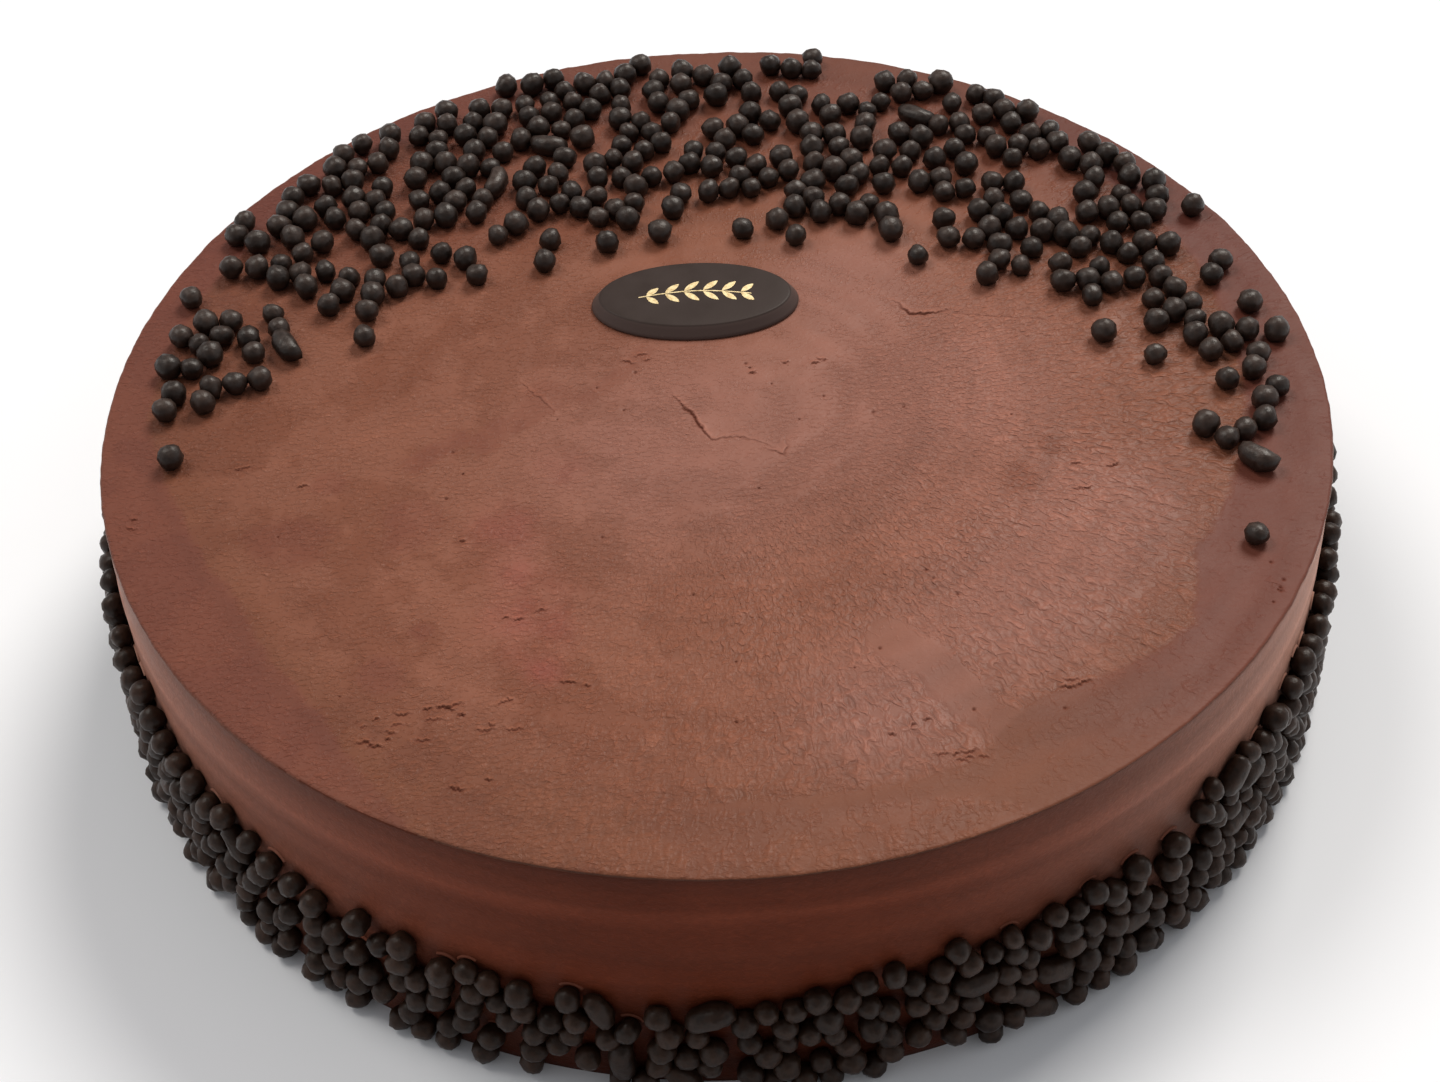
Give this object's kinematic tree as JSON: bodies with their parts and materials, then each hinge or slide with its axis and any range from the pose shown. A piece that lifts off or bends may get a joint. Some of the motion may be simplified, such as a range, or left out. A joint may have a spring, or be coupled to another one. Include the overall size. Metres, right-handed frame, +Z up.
{
  "type": "chocolate cake",
  "caption": "Whole round chocolate cake coated in chocolate cream, with crunchy chocolate pearls strewn over the back of its top and banded round its foot, and a bare oval chocolate plaque.",
  "frame": {"origin": "middle of the cake's flat base", "axes": "+Z up out of the top, -Y towards the front of the cake, where its top is bare of pearls"},
  "size_m": [0.2699, 0.2693, 0.0683],
  "materials": {
    "chocolate_cream": "smooth spread chocolate cream, satin, with a fine aerated grain and spatula marks",
    "dark_pearl": "crunchy cereal pearls coated in dark chocolate, satin",
    "dark_chocolate": "moulded dark chocolate, semi-gloss",
    "gold_print": "thin gold food colour printed on chocolate, satin"
  },
  "bodies": {
    "root": {"cake": "chocolate_cream", "plaque": "dark_chocolate"}
  },
  "joints": []
}
